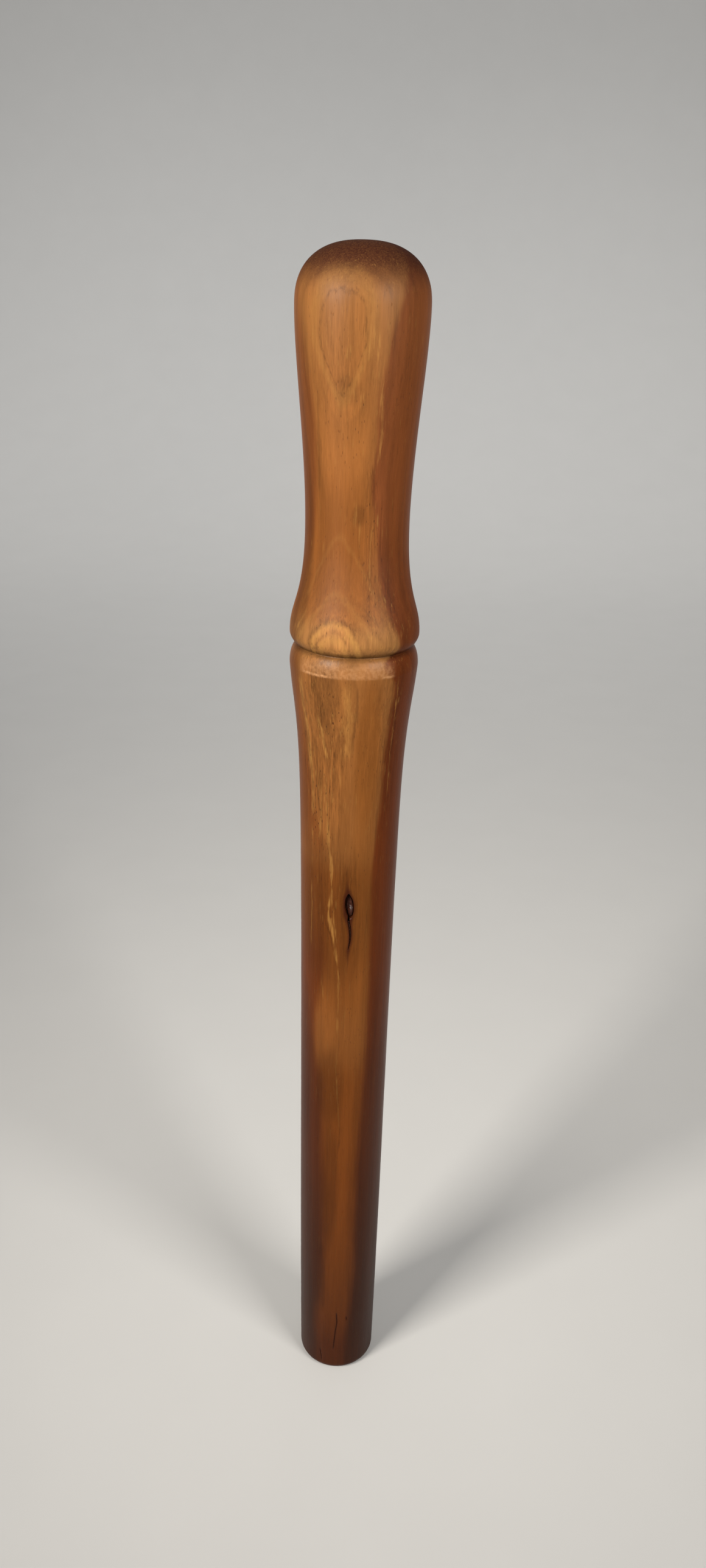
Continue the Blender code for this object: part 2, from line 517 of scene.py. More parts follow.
# Walls of the hollow that the knot lies in, as (depth, share of the knot's outline).
HOLLOW_LEVELS = ((-0.0008, 1.16), (0.0, 1.02), (0.0006, 0.95), (0.0028, 0.90), (0.0046, 0.70), (0.0058, 0.40))
HOLLOW_STEPS = 28


def knot_outline(angle, share=1.0):
    """A point of the knot's outline, or of a smaller copy of it, as (across, height)."""
    middle = Vector(((KNOT_LOW.x + KNOT_HIGH.x) / 2, (KNOT_LOW.z + KNOT_HIGH.z) / 2))
    half_width = (KNOT_HIGH.x - KNOT_LOW.x) / 2
    half_length = (KNOT_HIGH.z - KNOT_LOW.z) / 2
    place = Vector((math.sin(angle) * KNOT_LUMP_SIZE, math.cos(angle) * KNOT_LUMP_SIZE, KNOT_LUMP_SEED))
    lump = 1 + KNOT_LUMPS * noise.noise(place)
    up = math.cos(angle)
    narrow = 1.0 - KNOT_NARROW_LOW * max(0.0, -up) ** 2 - KNOT_NARROW_TOP * max(0.0, up) ** 2
    across = middle.x - KNOT_LEAN * up + half_width * math.sin(angle) * narrow * lump * share
    return across, middle.y + half_length * up * share


def knot_hollow():
    """The hollow that the knot lies in: steep walls that close in with depth."""
    points = []
    for depth, share in HOLLOW_LEVELS:
        for step in range(HOLLOW_STEPS):
            across, height = knot_outline(math.tau * step / HOLLOW_STEPS, share)
            points.append(on_surface(across, height, depth))
    return closed_solid("knot_hollow", points, HOLLOW_STEPS)


# ---------------------------------------------------------------- knot and bark

KNOT_RINGS = 16
KNOT_STEPS = 40
KNOT_FIT = 0.90
# Face of the knot: how deep it lies and leans, a shiny lump low down with a moat round it, and its grain.
FACE_DEPTH = 0.00110
FACE_LEAN_UP = 0.0005
FACE_LEAN_RIGHT = 0.0006
LUMP_UP = -0.40
LUMP_RIGHT = 0.30
LUMP_HALF_HEIGHT = 0.30
LUMP_HALF_WIDTH = 0.46
LUMP_RISE = 0.00090
MOAT_REACH = 1.5
MOAT_WIDTH = 0.35
MOAT_DEPTH = 0.00035
FACE_GRAIN = 0.00018
FACE_GRAIN_CELLS = (2600, 900)
RIM_START = 0.80
RIM_WIDTH = 0.20
RIM_DROP = 0.0005
# Root of the knot, as (depth, share of its outline), down to its tip.
KNOT_ROOT = ((0.0030, 0.80), (0.0044, 0.62), (0.0055, 0.34))
KNOT_TIP = 0.0056


def knot_face_depth(across, height):
    """How deep the face of the knot lies under the turned surface: deepest at the upper left."""
    middle = (KNOT_LOW.z + KNOT_HIGH.z) / 2
    up = (height - middle) / (KNOT_HIGH.z - KNOT_LOW.z) * 2
    right = (across - (KNOT_LOW.x + KNOT_HIGH.x) / 2) / (KNOT_HIGH.x - KNOT_LOW.x) * 2
    depth = FACE_DEPTH + FACE_LEAN_UP * up - FACE_LEAN_RIGHT * right
    lump_up = (up - LUMP_UP) / LUMP_HALF_HEIGHT
    lump_right = (right - LUMP_RIGHT) / LUMP_HALF_WIDTH
    depth -= LUMP_RISE * math.exp(-(lump_up**2 + lump_right**2))
    moat = math.sqrt(lump_up**2 + lump_right**2) - MOAT_REACH
    depth += MOAT_DEPTH * math.exp(-((moat / MOAT_WIDTH) ** 2))
    grain = noise.noise(Vector((across * FACE_GRAIN_CELLS[0], height * FACE_GRAIN_CELLS[1], 7.0)))
    return depth + FACE_GRAIN * grain


def dead_knot():
    """The knot: an uneven peg of dark wood with a sunken face."""
    across, height = knot_outline(0.0, 0.0)
    points = [on_surface(across, height, knot_face_depth(across, height))]
    for ring in range(1, KNOT_RINGS + 1):
        share = KNOT_FIT * ring / KNOT_RINGS
        rim = max(0.0, (ring / KNOT_RINGS - RIM_START) / RIM_WIDTH)
        for step in range(KNOT_STEPS):
            across, height = knot_outline(math.tau * step / KNOT_STEPS, share)
            depth = knot_face_depth(across, height) + RIM_DROP * rim**2
            points.append(on_surface(across, height, depth))
    for depth, share in KNOT_ROOT:
        for step in range(KNOT_STEPS):
            across, height = knot_outline(math.tau * step / KNOT_STEPS, share)
            points.append(on_surface(across, height, depth))
    across, height = knot_outline(0.0, 0.0)
    points.append(on_surface(across, height, KNOT_TIP))
    faces = [(0, 1 + step, 1 + (step + 1) % KNOT_STEPS) for step in range(KNOT_STEPS)]
    faces += ring_faces(KNOT_RINGS + len(KNOT_ROOT), KNOT_STEPS, 1)
    last = len(points) - 1
    ring = last - KNOT_STEPS
    faces += [(last, ring + (step + 1) % KNOT_STEPS, ring + step) for step in range(KNOT_STEPS)]
    obj = mesh_object("dead_knot", points, faces)
    outward_faces(obj)
    smooth(obj)
    return obj


# Strip of bark: steps between two stations of its split, its width beside the split, its sunken face and its ridge.
BARK_STEPS = 6
BARK_FIT = 0.70
BARK_SINK = 0.00030
BARK_LUMPS = 0.00024
BARK_RIDGE = 0.00016
# Its corners, as (half widths to the right, share of the ridge, depth under the face).
BARK_CORNERS = (
    (-1.0, 0.0, 0.0003),
    (-0.3, 1.0, 0.0),
    (0.4, -0.6, 0.0),
    (1.0, 0.0, 0.0003),
    (0.4, 0.0, 0.0013),
    (-0.4, 0.0, 0.0013),
)


def bark_seam():
    """The bark left in the split under the knot: a thin crumbling strip."""
    stations = []
    inner = BARK_SPLIT[1:-1]
    for first, second in zip(inner, inner[1:]):
        for step in range(BARK_STEPS):
            share = step / BARK_STEPS
            stations.append(tuple(a + (b - a) * share for a, b in zip(first, second)))
    stations.append(inner[-1])
    points = []
    for across, height, width in stations:
        face = BARK_SINK + BARK_LUMPS * noise.noise(Vector((across * 900, 2.0, height * 1500)))
        ridge = BARK_RIDGE * noise.noise(Vector((5.0, 1.0, height * 2300)))
        half = width / 2 * BARK_FIT
        for side, share, depth in BARK_CORNERS:
            points.append(on_surface(across + half * side, height, face + ridge * share + depth))
    obj = closed_solid("bark_seam", points, len(BARK_CORNERS))
    smooth(obj)
    return obj


# ---------------------------------------------------------------- material helpers


class Recipe:
    """Puts nodes into one material and wires them."""

    def __init__(self, name):
        self.material = bpy.data.materials.new(name)
        self.material.use_nodes = True
        self.tree = self.material.node_tree
        self.shader = self.tree.nodes["Principled BSDF"]

    def node(self, kind, **settings):
        made = self.tree.nodes.new(kind)
        for key, value in settings.items():
            setattr(made, key, value)
        return made

    def feed(self, socket, value):
        if isinstance(value, bpy.types.NodeSocket):
            self.tree.links.new(value, socket)
        else:
            socket.default_value = value

    def math(self, operation, first, second=None, third=None, clamp=False):
        made = self.node("ShaderNodeMath", operation=operation, use_clamp=clamp)
        for socket, value in zip(made.inputs, (first, second, third)):
            if value is not None:
                self.feed(socket, value)
        return made.outputs[0]

    def add(self, first, second):
        return self.math("ADD", first, second)

    def less(self, first, second):
        return self.math("SUBTRACT", first, second)

    def times(self, first, second):
        return self.math("MULTIPLY", first, second)

    def step(self, value, low, high, start=0.0, end=1.0):
        """start below low, end above high and a smooth rise between them."""
        made = self.node("ShaderNodeMapRange", interpolation_type="SMOOTHSTEP")
        for socket, number in zip(made.inputs[:5], (value, low, high, start, end)):
            self.feed(socket, number)
        return made.outputs[0]

    def hump(self, value, middle, width):
        """1 at the middle, falling to 0 at half the width on both sides."""
        off = self.math("ABSOLUTE", self.less(value, middle))
        return self.step(off, 0.0, width / 2, 1.0, 0.0)

    def stretch(self, vector, scale):
        made = self.node("ShaderNodeVectorMath", operation="MULTIPLY")
        self.feed(made.inputs[0], vector)
        self.feed(made.inputs[1], scale)
        return made.outputs[0]

    def noise(self, vector, scale, detail=2.0, roughness=0.5):
        """Noise from 0 to 1 with its own scale along each axis, in cells per millimetre."""
        made = self.node("ShaderNodeTexNoise")
        self.feed(made.inputs["Vector"], self.stretch(vector, scale))
        self.feed(made.inputs["Scale"], 1.0)
        self.feed(made.inputs["Detail"], detail)
        self.feed(made.inputs["Roughness"], roughness)
        return made.outputs[0]

    def sway(self, vector, scale, reach, detail=2.0):
        """Noise centred on 0 that reaches about reach to both sides."""
        return self.times(self.less(self.noise(vector, scale, detail), 0.5), reach * 4)

    def cells(self, vector, scale, size):
        """1 at the middle of scattered cells, 0 away from them."""
        made = self.node("ShaderNodeTexVoronoi", feature="F1")
        self.feed(made.inputs["Vector"], self.stretch(vector, scale))
        self.feed(made.inputs["Scale"], 1.0)
        return self.step(made.outputs["Distance"], size * 0.4, size, 1.0, 0.0)

    def course(self, share, stations, low, high):
        """A value that follows (share, value) stations, with each value between low and high."""
        made = self.node("ShaderNodeFloatCurve")
        self.feed(made.inputs["Value"], share)
        line = made.mapping.curves[0]
        scaled = [(place, (value - low) / (high - low)) for place, value in sorted(stations)]
        line.points[0].location = scaled[0]
        line.points[1].location = scaled[-1]
        for place in scaled[1:-1]:
            line.points.new(*place)
        made.mapping.extend = "HORIZONTAL"
        made.mapping.update()
        return self.math("MULTIPLY_ADD", made.outputs[0], high - low, low)

    def blend(self, share, first, second, mode="MIX"):
        made = self.node("ShaderNodeMix", data_type="RGBA", blend_type=mode, clamp_factor=True)
        self.feed(made.inputs[0], share)
        self.feed(made.inputs[6], first)
        self.feed(made.inputs[7], second)
        return made.outputs[2]

    def bump(self, height, distance, strength, below=None):
        made = self.node("ShaderNodeBump")
        self.feed(made.inputs["Strength"], strength)
        self.feed(made.inputs["Distance"], distance)
        self.feed(made.inputs["Height"], height)
        if below is not None:
            self.feed(made.inputs["Normal"], below)
        return made.outputs[0]

    def node_vector(self, first, second, third):
        made = self.node("ShaderNodeCombineXYZ")
        for socket, value in zip(made.inputs, (first, second, third)):
            self.feed(socket, value)
        return made.outputs[0]

    def place(self):
        """Position in the part's frame, in millimetres."""
        made = self.node("ShaderNodeTexCoord")
        return self.stretch(made.outputs["Object"], (1000.0, 1000.0, 1000.0))

    def split(self, vector):
        made = self.node("ShaderNodeSeparateXYZ")
        self.feed(made.inputs[0], vector)
        return made.outputs[0], made.outputs[1], made.outputs[2]

    def scaled(self, rgb, factor):
        made = self.node("ShaderNodeVectorMath", operation="SCALE")
        self.feed(made.inputs[0], rgb)
        self.feed(made.inputs["Scale"], factor)
        return made.outputs[0]

    def strongest(self, masks):
        total = masks[0]
        for mask in masks[1:]:
            total = self.math("MAXIMUM", total, mask)
        return total


def solid(rgb):
    return (*rgb, 1.0)


# ---------------------------------------------------------------- oiled wood

# Stations of what runs along the mallet, each as (height in millimetres, value). Turns are in degrees to the right of
# the front.
RIGHT_EDGE = (
    (0, 13), (15, 15), (30, 19), (40, 21), (60, 23), (80, 23), (110, 24), (140, 27), (171, 30), (223, 30),
    (245, 31), (269, 36), (290, 37), (309, 40), (315, 29), (320, 43), (328, 37), (335, 31), (343, 27),
    (352, 23), (360, 20), (372, 15), (385, 18), (395, 18.5), (403, 20), (412, 25), (422, 32), (440, 60),
)
LEFT_EDGE = (
    (0, -28), (12, -32), (26, -34), (42, -25), (60, -22), (90, -23), (120, -27), (148, -29), (158, -36),
    (172, -41), (186, -36), (200, -27), (215, -26), (230, -28), (246, -30), (258, -38), (270, -46), (285, -53),
    (305, -57), (320, -60), (335, -66), (350, -58), (365, -50), (380, -46), (395, -50), (410, -56), (440, -80),
)
LEFT_STRENGTH = (
    (0, 0.8), (50, 1.0), (80, 1.0), (130, 1.0), (155, 0.9), (190, 0.85), (215, 0.40), (235, 0.2), (250, 0.45),
    (275, 0.6), (311, 0.5), (330, 0.4), (360, 0.7), (395, 0.8), (420, 0.6), (440, 0.4),
)
# How far the light and the dark wood have the colours of the grip, and lower down the colours of the foot, which are
# partly redder wood and partly painted shade that darkens the shaft towards its foot.
LIGHT_GRIP_SHARE = (
    (0, 0.0), (100, 0.0), (120, 0.02), (150, 0.05), (170, 0.24), (190, 0.15), (215, 0.10), (235, 0.12),
    (250, 0.40), (275, 0.40), (290, 0.44), (308, 0.48), (317, 0.75), (321, 0.90), (328, 0.58), (335, 0.28),
    (350, 0.22), (365, 0.26), (380, 0.36), (395, 0.42), (410, 0.52), (425, 0.60),
)
DARK_GRIP_SHARE = (
    (0, 0.0), (300, 0.0), (321, 0.20), (335, 0.35), (350, 0.52), (365, 0.68), (395, 0.78), (412, 0.95), (425, 1.0),
)
LIGHT_FOOT_SHADE_SHARE = (
    (0, 1.0), (8, 1.0), (20, 0.80), (40, 0.42), (60, 0.26), (95, 0.16), (130, 0.04), (160, 0.0), (440, 0.0),
)
DARK_FOOT_SHADE_SHARE = (
    (0, 1.0), (20, 1.0), (60, 0.85), (90, 0.72), (120, 0.50), (150, 0.40), (175, 0.14), (205, 0.0), (440, 0.0),
)
# How softly the light wood ends, in degrees.
EDGE_SOFTNESS = ((0, 9.0), (120, 8.0), (200, 6.0), (240, 4.5), (300, 3.8), (420, 4.0), (440, 8.0))
# Duller skin where the hand wears the oil off.
DULL = ((318, 0.0), (327, 0.14), (340, 0.16), (352, 0.02), (366, 0.0))
# Bare end grain, where the oil soaks in, and painted shade along the floor of the groove.
END_GRAIN = ((0, 0.4), (3, 0.0), (420, 0.0), (425, 0.10), (428, 0.34), (431, 0.66), (434, 0.93), (437, 1.0))
GROOVE_SHADE = ((312, 1.0), (316.2, 1.0), (318, 0.45), (319.6, 1.0), (322, 1.0))
# How far the growth layers stand off their round shape, in millimetres.
LAYER_SHIFT = (
    (0, 1.7), (250, 1.9), (280, 1.8), (295, 1.0), (311, 0.0), (320, 0.0), (335, 0.1), (355, 0.2), (380, 0.4),
    (397, 0.1), (413, -0.7), (426, -1.2), (440, -1.6),
)
# Narrow streaks: width in degrees, strength, and the path as (height, turn).
PALE_STREAKS = (
    (3.8, 0.95, ((208, -13.5), (212, -16), (217, -19), (222, -23), (226, -22.5), (231, -21))),
    (2.4, 0.75, ((224, -20), (230, -20), (236, -19.5), (243, -20.5))),
    (1.8, 0.55, ((210, -12), (216, -14), (221, -17), (227, -17.5))),
    (3.0, 0.80, ((201, -10), (204, -11.5), (207, -13), (211, -14.5))),
    (2.4, 0.85, ((180, -8.6), (186, -8), (191, -8.4), (197, -8.8), (202, -10))),
    (2.0, 0.60, ((171, -9.4), (176, -9), (181, -9))),
    (3.8, 0.75, ((236, -19), (243, -20.5), (250, -24), (258, -25.5))),
    (3.0, 0.65, ((250, -23), (257, -25), (266, -26), (274, -29))),
    (2.0, 0.45, ((128, -3), (142, -6), (156, -8), (168, -8.5))),
    (4.8, 0.60, ((258, -46), (270, -46), (290, -49), (305, -54), (311, -50))),
    (2.4, 0.75, ((280, -26), (286, -28), (291, -31), (299, -35))),
    (9.0, 0.40, ((281, -6), (292, -3), (302, -4), (311, -5))),
    (2.2, 0.60, ((250, -37), (258, -34), (266, -33), (276, -33))),
    (1.8, 0.45, ((238, -48), (248, -47), (258, -47))),
    (1.8, 0.40, ((206, -49), (220, -48), (236, -48))),
    (2.2, 0.50, ((184, -27), (189, -29), (196, -31.5))),
    (1.3, 0.55, ((266, 44), (285, 44.5), (300, 44), (312, 44))),
    (2.0, 0.45, ((358, -3.5), (363, -3), (368, -2.5))),
    (2.0, 0.45, ((351, 3), (357, 3.2), (362, 3))),
    (3.0, 0.45, ((322, -64), (327, -58), (333, -51))),
    (1.6, 0.40, ((409, 10), (415, 10.5), (421, 11))),
    (1.6, 0.35, ((405, 14), (411, 14), (417, 14.5))),
    (2.4, 0.40, ((376, 17), (386, 21), (396, 19.5), (405, 21))),
    (2.2, 0.45, ((335, 19), (345, 14), (353, 15), (361, 18))),
)
DARK_STREAKS = (
    (3.6, 0.55, ((283, 0.5), (292, 2), (302, 4), (311, 2.5))),
    (1.6, 0.40, ((246, 31), (255, 31), (265, 31.5))),
    (1.8, 0.40, ((98, -9), (112, -6), (126, -3), (142, -6), (162, -9))),
    (9.0, 0.30, ((30, -24), (50, -22), (72, -27))),
    (2.0, 0.85, ((228, 0.8), (233, -0.9), (238, -2.2), (243, -2.6))),
    (2.0, 0.75, ((228, 3.4), (233, 3.6), (238, 3.0), (243, 3.0))),
    (2.6, 0.35, ((204, -2.5), (214, -4.5), (226, -7), (236, -5.5), (246, -3.5))),
    (3.0, 0.35, ((204, 7), (214, 9), (226, 10.5), (238, 8.5), (250, 7))),
    (4.0, 0.40, ((366, -45), (380, -43), (402, -42))),
    (1.6, 0.50, ((350, 20), (358, 19), (368, 17), (379, 14.5))),
    (3.2, 0.28, ((409, 27), (416, 28), (423, 29))),
    (1.8, 0.50, ((408, -34.5), (413, -36), (418, -36.5))),
    (1.8, 0.50, ((410, 4.5), (414, 5), (418, 5.5))),
    (2.2, 0.50, ((396.0, -18.5), (400, -15), (405, -9.5))),
    (2.2, 0.40, ((396.0, -19.0), (399, -22), (402.5, -25))),
    (3.4, 0.30, ((390, -17), (395, -17), (400, -17.5))),
    (2.4, 0.50, ((296, -36), (303, -37), (311, -40))),
    (2.0, 0.45, ((262, -20), (272, -20), (282, -17), (292, -14))),
    (2.0, 0.45, ((240, -14), (250, -12), (262, -11), (274, -12))),
    (1.8, 0.45, ((206, -16), (214, -20), (222, -28), (230, -25))),
    (2.2, 0.50, ((255, -29), (265, -37), (280, -42), (295, -44))),
)
# Broad soft panels: turn, half width, height, half height, strength.
AMBER_PANELS = ((17, 15, 282, 34, 0.80), (17, 15, 236, 40, 0.50), (18, 14, 186, 26, 0.30), (-14, 22, 412, 15, 0.16))
# Two dark panels are painted shade: the one at height 316.8 along the floor of the groove, and the one at height 150
# low on the left side.
DARK_PANELS = (
    (-26, 14, 306, 17, 0.30), (2, 9, 362.5, 3.5, 0.22), (-20, 60, 222, 32, 0.30), (4, 12, 224, 24, 0.30),
    (-12, 13, 399, 4.5, 0.16), (-66, 16, 350, 50, 0.30), (-6, 16, 316.8, 3, 0.25), (-60, 18, 150, 40, 0.20),
    (-64, 20, 392, 36, 0.18), (-18, 18, 148, 20, 0.26), (-16, 14, 100, 34, 0.22), (30, 14, 343, 16, 0.14),
)
PALE_PANELS = ((-27, 22, 174, 14, 0.14), (9, 13, 100, 50, 0.04), (-18, 21, 323, 6, 0.22), (-18, 30, 383, 16, 0.10))
BUSY_PANELS = (
    (-32, 28, 284, 42, 1.6), (17, 12, 350, 34, 1.0), (-17, 26, 324, 9, 1.2), (35, 12, 330, 16, 1.0),
    (-12, 30, 405, 18, 0.5), (38, 14, 290, 40, 0.7), (-20, 30, 235, 24, 0.6),
)
# Layers that close on themselves, cut open where the turning bulges: turn, half width, height, half height, how much
# it narrows to a point at its lower end (at its upper end where less than 0), width, strength, lowest height.
PALE_ARCS = (
    (-17, 26, 413, 17.0, 0.70, 0.30, 0.20, 380), (-18, 22, 317, 11.5, 0.0, 0.18, 0.50, 318),
    (-19, 13, 317, 7.0, 0.0, 0.34, 0.35, 318), (-18, 52, 314, 23.5, -0.55, 0.12, 0.15, 320),
    (-18, 44, 332, 24.0, -0.60, 0.10, 0.12, 336),
)
DARK_ARCS = (
    (-16.5, 20.5, 412, 14.3, 0.75, 0.09, 0.60, 380), (-18, 26.0, 317, 13.2, 0.0, 0.16, 0.45, 318),
    (-19, 17.0, 317, 9.2, 0.0, 0.14, 0.50, 318), (-18, 60, 312, 29.5, -0.55, 0.08, 0.16, 320),
)
# How bright the pale streaks are beside the streak colour.
STREAK_TONE = (
    (0, 0.10), (60, 0.22), (120, 0.32), (170, 0.46), (215, 0.50), (250, 0.62), (300, 0.72), (321, 1.0), (335, 0.62),
    (395, 0.70), (425, 0.80),
)
TOTAL = 440.0

# Grain: noise cells per millimetre along x, y and z, detail, and roughness where it isn't the usual one.
FIBRE = ((3.2, 3.2, 0.13), 3.0, 0.62)
STRAND = ((1.2, 1.2, 0.050), 3.0, 0.60)
RIBBON = ((0.30, 0.30, 0.010), 2.0)
DRIFT = ((0.55, 1.0, 1.0), 2.0)
SWELL = ((0.15, 0.15, 0.16), 2.0)
SOAK = ((2.2, 2.2, 2.2), 3.0)
DOTS = ((1.1, 1.1, 0.5), 3.0, 0.65)
DASHES = ((1.7, 1.7, 0.13), 2.0)
HOLLOWS = ((1.5, 1.5, 0.15), 2.0)
CROWD = ((0.12, 0.12, 0.04), 2.0)
WEAR = ((0.9, 0.9, 0.9), 3.0, 0.6)
# Sways of a line or a border: noise cells per millimetre, reach, and detail.
FINE_FRAY = ((0.9, 0.9, 0.06), 0.9, 3.0)
SLOW_FRAY = ((0.16, 0.16, 0.025), 0.9, 2.0)
RAGGED = ((2.4, 2.4, 0.22), 0.9, 2.0)
ARC_WAVE = ((0.32, 0.32, 0.22), 0.045, 3.0)
SLOW_LAYER = ((0.05, 0.05, 0.014), 0.40, 2.0)
FINE_LAYER = ((0.5, 0.5, 0.05), 0.10, 3.0)
BORDER_SWAY = ((0.45, 0.45, 0.03), 1.5, 3.0)
STAIN_SWAY = ((0.9, 0.9, 0.20), 0.22, 3.0)
# Where a streak and a panel start to fade and where they end, as shares of their width.
STREAK_CORE = 0.10
STREAK_EDGE = 0.70
PANEL_CORE = 0.15
PANEL_EDGE = 1.35
# How far a streak fades out at its ends, in millimetres and at most as a share of its length.
STREAK_FADE = 5.0
STREAK_FADE_SHARE = 0.4
ARC_FRAY = 0.02
# Scattered cells: cells per millimetre, and size.
PORES = ((1.3, 1.3, 0.30), 0.20)
# Painted glints: pale dots where the pores catch the light.
PORE_GLINTS = ((1.4, 1.4, 1.0), 0.16)


class Wood(Recipe):
    """A recipe that knows where it is on the turning: height, turn from the front and growth layer."""

    def __init__(self, name):
        super().__init__(name)
        self.spot = self.place()
        self.x, self.y, self.z = self.split(self.spot)
        self.share = self.times(self.z, 1 / TOTAL)
        turn = self.times(self.math("ARCTAN2", self.x, self.times(self.y, -1.0)), math.degrees(1.0))
        fine = self.sway(self.spot, *FINE_FRAY)
        slow = self.sway(self.spot, *SLOW_FRAY)
        self.fray = self.add(fine, slow)
        self.turn = self.add(turn, self.fray)
        self.ragged = self.add(self.turn, self.sway(self.spot, *RAGGED))
        self.swell = self.step(self.noise(self.spot, *SWELL), 0.30, 0.68, 1.7, 0.62)
        self.arc_wave = self.sway(self.spot, *ARC_WAVE)

    def along(self, stations, low=-90.0, high=90.0):
        return self.course(self.share, [(height / TOTAL, value) for height, value in stations], low, high)

    def streak(self, width, strength, path):
        """A narrow layer that follows a path and fades at both ends."""
        off = self.math("ABSOLUTE", self.less(self.ragged, self.along(path)))
        line = self.step(self.times(off, self.swell), width * STREAK_CORE, width * STREAK_EDGE, strength, 0.0)
        fade = min(STREAK_FADE, (path[-1][0] - path[0][0]) * STREAK_FADE_SHARE)
        lower = self.step(self.z, path[0][0], path[0][0] + fade)
        upper = self.step(self.z, path[-1][0] - fade, path[-1][0], 1.0, 0.0)
        return self.times(line, self.times(lower, upper))

    def panel(self, turn, half_turn, height, half_height, strength):
        """A soft oval area."""
        across = self.times(self.less(self.turn, turn), 1 / half_turn)
        up = self.times(self.less(self.z, height), 1 / half_height)
        away = self.add(self.times(across, across), self.times(up, up))
        return self.step(away, PANEL_CORE, PANEL_EDGE, strength, 0.0)

    def arc(self, turn, half_turn, height, half_height, taper, width, strength, lowest):
        """An oval line above its lowest height, pointed at its lower or its upper end as far as taper says."""
        up = self.times(self.less(self.z, height), 1 / half_height)
        pointed = self.math("MULTIPLY", up, -math.copysign(1.0, taper), clamp=True)
        narrow = self.less(1.0, self.times(pointed, abs(taper)))
        across = self.math("DIVIDE", self.times(self.less(self.turn, turn), 1 / half_turn), narrow)
        power = 3.0 if taper > 0 else 2.0
        sides = [self.math("POWER", self.math("ABSOLUTE", part), power) for part in (across, up)]
        away = self.math("POWER", self.add(*sides), 1 / power)
        away = self.add(away, self.add(self.times(self.fray, ARC_FRAY), self.arc_wave))
        line = self.times(self.hump(away, 1.0, width * 2), strength)
        return self.times(line, self.step(self.z, lowest - 0.4, lowest + 0.6))


def growth_layers(w):
    """Distance from the pith, with the slow and the fine waves of real grain."""
    across = w.less(w.x, PITH_REACH * math.sin(PITH_TURN))
    along = w.less(w.y, -PITH_REACH * math.cos(PITH_TURN))
    reach = w.math("SQRT", w.add(w.times(across, across), w.times(along, along)))
    slow = w.sway(w.spot, *SLOW_LAYER)
    fine = w.sway(w.spot, *FINE_LAYER)
    return w.add(w.add(reach, w.along(LAYER_SHIFT, -4.0, 4.0)), w.add(slow, fine))


def light_wood(w):
    """Share of the light outer wood, between its two wandering edges."""
    frayed = w.add(w.turn, w.sway(w.spot, *BORDER_SWAY))
    soft = w.along(EDGE_SOFTNESS, 0.0, 10.0)
    right = w.step(w.math("DIVIDE", w.less(w.along(RIGHT_EDGE), frayed), soft), -0.9, 1.1)
    left = w.step(w.math("DIVIDE", w.less(frayed, w.along(LEFT_EDGE)), w.add(soft, 2.5)), -1.0, 1.0)
    loss = w.times(w.less(1.0, left), w.along(LEFT_STRENGTH, 0.0, 1.0))
    return w.times(right, w.less(1.0, loss))


# Stain round the knot: its middle and half its width, in millimetres to the right, at each height.
KNOT_STAIN_MIDDLE = (
    (198, 0.3), (209, 0.7), (214, 1.25), (218, 0.95), (222, 0.60), (226, 0.55), (231, 0.15), (236, -0.1), (244, -0.3),
)
KNOT_STAIN_HALF = (
    (198, -0.9), (203, -0.3), (208, 0.20), (213, 0.48), (218, 0.68), (220.5, 1.00), (223, 1.60), (226, 1.90),
    (229, 1.60), (231, 1.10), (233, 0.45), (236, -0.2), (241, -0.9),
)
# Width of the stain along each check, in millimetres.
CHECK_STAINS = ((FOOT_CHECK, 0.62), (SIDE_CHECK, 0.50), (PIN_MARK, 0.55))
# Where along y a mark of the front fades out, in millimetres, so that it doesn't show on the back.
FRONT_ONLY = (-8.0, -12.0)
# Ends of the painted highlight along the crisp edge of the shoulder, as panels.
SHOULDER_HIGHLIGHT_ENDS = ((-36, 16, 312, 3, 0.65), (34, 8, 312, 3, 0.5))


def knot_stain(w):
    """Dark stain that wraps the knot, runs down along the seam and ends in a point above."""
    off = w.math("ABSOLUTE", w.less(w.x, w.along(KNOT_STAIN_MIDDLE, -4.0, 4.0)))
    wave = w.sway(w.spot, *STAIN_SWAY)
    inside = w.add(w.less(w.along(KNOT_STAIN_HALF, -1.0, 4.0), off), wave)
    return w.times(w.step(inside, -1.00, 0.45, 0.0, 0.94), w.step(w.y, *FRONT_ONLY))


def check_stain(w):
    """Dark edges of the drying checks at the foot."""
    lines = []
    for path, width in CHECK_STAINS:
        stations = [(height / MM, across / MM) for across, height, _ in reversed(path)]
        off = w.math("ABSOLUTE", w.less(w.x, w.along(stations, -10.0, 10.0)))
        line = w.step(off, width * 0.15, width, 0.60, 0.0)
        lower = w.step(w.z, stations[0][0] - 0.8, stations[0][0] + 1.2)
        upper = w.step(w.z, stations[-1][0] - 1.2, stations[-1][0] + 0.8, 1.0, 0.0)
        lines.append(w.times(line, w.times(lower, upper)))
    return w.times(w.strongest(lines), w.step(w.y, *FRONT_ONLY))


def shoulder_wear_and_highlight(w):
    """The shoulder under the groove: partly scraped wood, partly a painted highlight on its rounding, brightest at
    both ends of its crisp edge.
    """
    lens = w.times(w.step(w.z, 311.0, 311.8), w.step(w.z, 314.2, 317.0, 1.0, 0.0))
    # Painted highlight: kept to the front, where the lights catch the shoulder.
    sides = w.times(w.step(w.turn, -58.0, -47.0), w.step(w.turn, 34.0, 42.0, 1.0, 0.0))
    edge = w.times(w.hump(w.z, 311.7, 1.8), w.add(0.35, w.add(*[w.panel(*end) for end in SHOULDER_HIGHLIGHT_ENDS])))
    grain = w.noise(w.spot, *WEAR)
    broken = w.step(grain, 0.34, 0.66, 0.35, 1.0)
    return w.times(w.times(w.math("MAXIMUM", w.times(lens, 0.42), edge), sides), broken)


